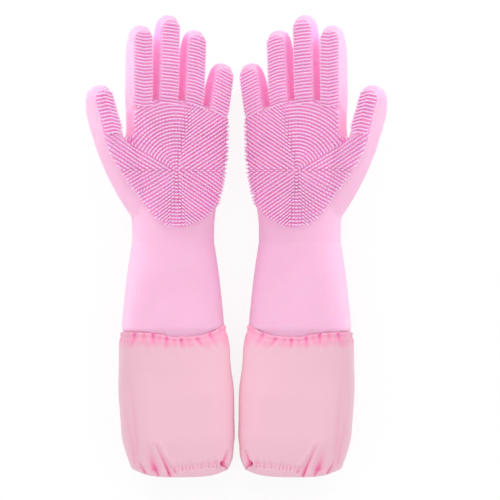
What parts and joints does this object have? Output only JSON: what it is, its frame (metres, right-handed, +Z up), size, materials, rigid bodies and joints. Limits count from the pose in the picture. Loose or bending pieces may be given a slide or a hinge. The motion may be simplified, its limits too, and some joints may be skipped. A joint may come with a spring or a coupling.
{
  "type": "rubber gloves",
  "caption": "Pair of silicone scrubbing gloves with bristled palms and fingers, flared gauntlets and gathered fabric sleeves; fingers and wrists bend and the cuffs push up.",
  "frame": {"origin": "bottom centre of the pair's box, on the surface that the gloves lie on", "axes": "+Y from the open sleeves to the fingertips, +Z up out of the palms, +X from the left glove to the right one"},
  "size_m": [0.3068, 0.4637, 0.0932],
  "materials": {
    "silicone": "satin moulded silicone",
    "scrubber": "satin moulded silicone bristles",
    "sleeve_fabric": "thin woven waterproof fabric",
    "elastic": "knitted elastic band"
  },
  "bodies": {
    "left_gauntlet": {"left_gauntlet": "silicone", "left_sleeve": "sleeve_fabric", "left_sleeve_elastic": "elastic"},
    "left_hand": {"left_hand": "silicone", "left_palm_scrubber": "scrubber"},
    "left_cuff": {"left_cuff_hem": "sleeve_fabric", "left_cuff_elastic": "elastic"},
    "left_index_base": {"left_index_base": "silicone", "left_index_base_scrubber": "scrubber"},
    "left_index_tip": {"left_index_tip": "silicone", "left_index_tip_scrubber": "scrubber"},
    "left_middle_base": {"left_middle_base": "silicone", "left_middle_base_scrubber": "scrubber"},
    "left_middle_tip": {"left_middle_tip": "silicone", "left_middle_tip_scrubber": "scrubber"},
    "left_ring_base": {"left_ring_base": "silicone", "left_ring_base_scrubber": "scrubber"},
    "left_ring_tip": {"left_ring_tip": "silicone", "left_ring_tip_scrubber": "scrubber"},
    "left_little_base": {"left_little_base": "silicone", "left_little_base_scrubber": "scrubber"},
    "left_little_tip": {"left_little_tip": "silicone", "left_little_tip_scrubber": "scrubber"},
    "left_thumb_base": {"left_thumb_base": "silicone", "left_thumb_base_scrubber": "scrubber"},
    "left_thumb_tip": {"left_thumb_tip": "silicone", "left_thumb_tip_scrubber": "scrubber"},
    "right_gauntlet": {"right_gauntlet": "silicone", "right_sleeve": "sleeve_fabric", "right_sleeve_elastic": "elastic"},
    "right_hand": {"right_hand": "silicone", "right_palm_scrubber": "scrubber"},
    "right_cuff": {"right_cuff_hem": "sleeve_fabric", "right_cuff_elastic": "elastic"},
    "right_index_base": {"right_index_base": "silicone", "right_index_base_scrubber": "scrubber"},
    "right_index_tip": {"right_index_tip": "silicone", "right_index_tip_scrubber": "scrubber"},
    "right_middle_base": {"right_middle_base": "silicone", "right_middle_base_scrubber": "scrubber"},
    "right_middle_tip": {"right_middle_tip": "silicone", "right_middle_tip_scrubber": "scrubber"},
    "right_ring_base": {"right_ring_base": "silicone", "right_ring_base_scrubber": "scrubber"},
    "right_ring_tip": {"right_ring_tip": "silicone", "right_ring_tip_scrubber": "scrubber"},
    "right_little_base": {"right_little_base": "silicone", "right_little_base_scrubber": "scrubber"},
    "right_little_tip": {"right_little_tip": "silicone", "right_little_tip_scrubber": "scrubber"},
    "right_thumb_base": {"right_thumb_base": "silicone", "right_thumb_base_scrubber": "scrubber"},
    "right_thumb_tip": {"right_thumb_tip": "silicone", "right_thumb_tip_scrubber": "scrubber"}
  },
  "joints": [
    {"name": "left_wrist_bend", "type": "hinge", "parent": "left_gauntlet", "child": "left_hand", "pos_m": [-0.0542, 0.00502, 0.04763], "axis": [0.8988, 0, -0.4384], "range_deg": [0, 40], "stiffness_Nm_per_rad": 0.05},
    {"name": "left_index_knuckle", "type": "hinge", "parent": "left_hand", "child": "left_index_base", "pos_m": [-0.09276, 0.15502, 0.06644], "axis": [0.8988, -0.0087, -0.4384], "range_deg": [0, 75], "stiffness_Nm_per_rad": 0.02},
    {"name": "left_index_crease", "type": "hinge", "parent": "left_index_base", "child": "left_index_tip", "pos_m": [-0.09253, 0.18472, 0.06632], "axis": [0.8988, -0.0087, -0.4384], "range_deg": [0, 80], "stiffness_Nm_per_rad": 0.02},
    {"name": "left_middle_knuckle", "type": "hinge", "parent": "left_hand", "child": "left_middle_base", "pos_m": [-0.06705, 0.15502, 0.0539], "axis": [0.8983, -0.0314, -0.4382], "range_deg": [0, 75], "stiffness_Nm_per_rad": 0.02},
    {"name": "left_middle_crease", "type": "hinge", "parent": "left_middle_base", "child": "left_middle_tip", "pos_m": [-0.06607, 0.18965, 0.05342], "axis": [0.8983, -0.0314, -0.4382], "range_deg": [0, 80], "stiffness_Nm_per_rad": 0.02},
    {"name": "left_ring_knuckle", "type": "hinge", "parent": "left_hand", "child": "left_ring_base", "pos_m": [-0.04135, 0.15502, 0.04136], "axis": [0.8979, -0.0454, -0.4379], "range_deg": [0, 75], "stiffness_Nm_per_rad": 0.02},
    {"name": "left_ring_crease", "type": "hinge", "parent": "left_ring_base", "child": "left_ring_tip", "pos_m": [-0.0402, 0.18311, 0.0408], "axis": [0.8979, -0.0454, -0.4379], "range_deg": [0, 80], "stiffness_Nm_per_rad": 0.02},
    {"name": "left_little_knuckle", "type": "hinge", "parent": "left_hand", "child": "left_little_base", "pos_m": [-0.01564, 0.14602, 0.02882], "axis": [0.8889, -0.1478, -0.4336], "range_deg": [0, 75], "stiffness_Nm_per_rad": 0.02},
    {"name": "left_little_crease", "type": "hinge", "parent": "left_little_base", "child": "left_little_tip", "pos_m": [-0.01331, 0.16338, 0.02769], "axis": [0.8889, -0.1478, -0.4336], "range_deg": [0, 80], "stiffness_Nm_per_rad": 0.02},
    {"name": "left_thumb_knuckle", "type": "hinge", "parent": "left_hand", "child": "left_thumb_base", "pos_m": [-0.12431, 0.11802, 0.08182], "axis": [0.7703, 0.2879, -0.5689], "range_deg": [0, 45], "stiffness_Nm_per_rad": 0.02},
    {"name": "left_thumb_crease", "type": "hinge", "parent": "left_thumb_base", "child": "left_thumb_tip", "pos_m": [-0.12951, 0.13695, 0.08436], "axis": [0.7703, 0.2879, -0.5689], "range_deg": [0, 60], "stiffness_Nm_per_rad": 0.02},
    {"name": "left_cuff_slide", "type": "slide", "parent": "left_gauntlet", "child": "left_cuff", "axis": [0, 1, 0], "range_m": [0, 0.085], "deforming": ["left_sleeve"]},
    {"name": "pair_slide", "type": "slide", "parent": "left_gauntlet", "child": "right_gauntlet", "axis": [1, 0, 0], "range_m": [0, 0.2]},
    {"name": "right_wrist_bend", "type": "hinge", "parent": "right_gauntlet", "child": "right_hand", "pos_m": [0.0542, 0.00502, 0.04763], "axis": [0.8988, 0, 0.4384], "range_deg": [0, 40], "stiffness_Nm_per_rad": 0.05},
    {"name": "right_index_knuckle", "type": "hinge", "parent": "right_hand", "child": "right_index_base", "pos_m": [0.09276, 0.15502, 0.06644], "axis": [0.8988, 0.0087, 0.4384], "range_deg": [0, 75], "stiffness_Nm_per_rad": 0.02},
    {"name": "right_index_crease", "type": "hinge", "parent": "right_index_base", "child": "right_index_tip", "pos_m": [0.09253, 0.18472, 0.06632], "axis": [0.8988, 0.0087, 0.4384], "range_deg": [0, 80], "stiffness_Nm_per_rad": 0.02},
    {"name": "right_middle_knuckle", "type": "hinge", "parent": "right_hand", "child": "right_middle_base", "pos_m": [0.06705, 0.15502, 0.0539], "axis": [0.8983, 0.0314, 0.4382], "range_deg": [0, 75], "stiffness_Nm_per_rad": 0.02},
    {"name": "right_middle_crease", "type": "hinge", "parent": "right_middle_base", "child": "right_middle_tip", "pos_m": [0.06607, 0.18965, 0.05342], "axis": [0.8983, 0.0314, 0.4382], "range_deg": [0, 80], "stiffness_Nm_per_rad": 0.02},
    {"name": "right_ring_knuckle", "type": "hinge", "parent": "right_hand", "child": "right_ring_base", "pos_m": [0.04135, 0.15502, 0.04136], "axis": [0.8979, 0.0454, 0.4379], "range_deg": [0, 75], "stiffness_Nm_per_rad": 0.02},
    {"name": "right_ring_crease", "type": "hinge", "parent": "right_ring_base", "child": "right_ring_tip", "pos_m": [0.0402, 0.18311, 0.0408], "axis": [0.8979, 0.0454, 0.4379], "range_deg": [0, 80], "stiffness_Nm_per_rad": 0.02},
    {"name": "right_little_knuckle", "type": "hinge", "parent": "right_hand", "child": "right_little_base", "pos_m": [0.01564, 0.14602, 0.02882], "axis": [0.8889, 0.1478, 0.4336], "range_deg": [0, 75], "stiffness_Nm_per_rad": 0.02},
    {"name": "right_little_crease", "type": "hinge", "parent": "right_little_base", "child": "right_little_tip", "pos_m": [0.01331, 0.16338, 0.02769], "axis": [0.8889, 0.1478, 0.4336], "range_deg": [0, 80], "stiffness_Nm_per_rad": 0.02},
    {"name": "right_thumb_knuckle", "type": "hinge", "parent": "right_hand", "child": "right_thumb_base", "pos_m": [0.12431, 0.11802, 0.08182], "axis": [0.7703, -0.2879, 0.5689], "range_deg": [0, 45], "stiffness_Nm_per_rad": 0.02},
    {"name": "right_thumb_crease", "type": "hinge", "parent": "right_thumb_base", "child": "right_thumb_tip", "pos_m": [0.12951, 0.13695, 0.08436], "axis": [0.7703, -0.2879, 0.5689], "range_deg": [0, 60], "stiffness_Nm_per_rad": 0.02},
    {"name": "right_cuff_slide", "type": "slide", "parent": "right_gauntlet", "child": "right_cuff", "axis": [0, 1, 0], "range_m": [0, 0.085], "deforming": ["right_sleeve"]}
  ]
}
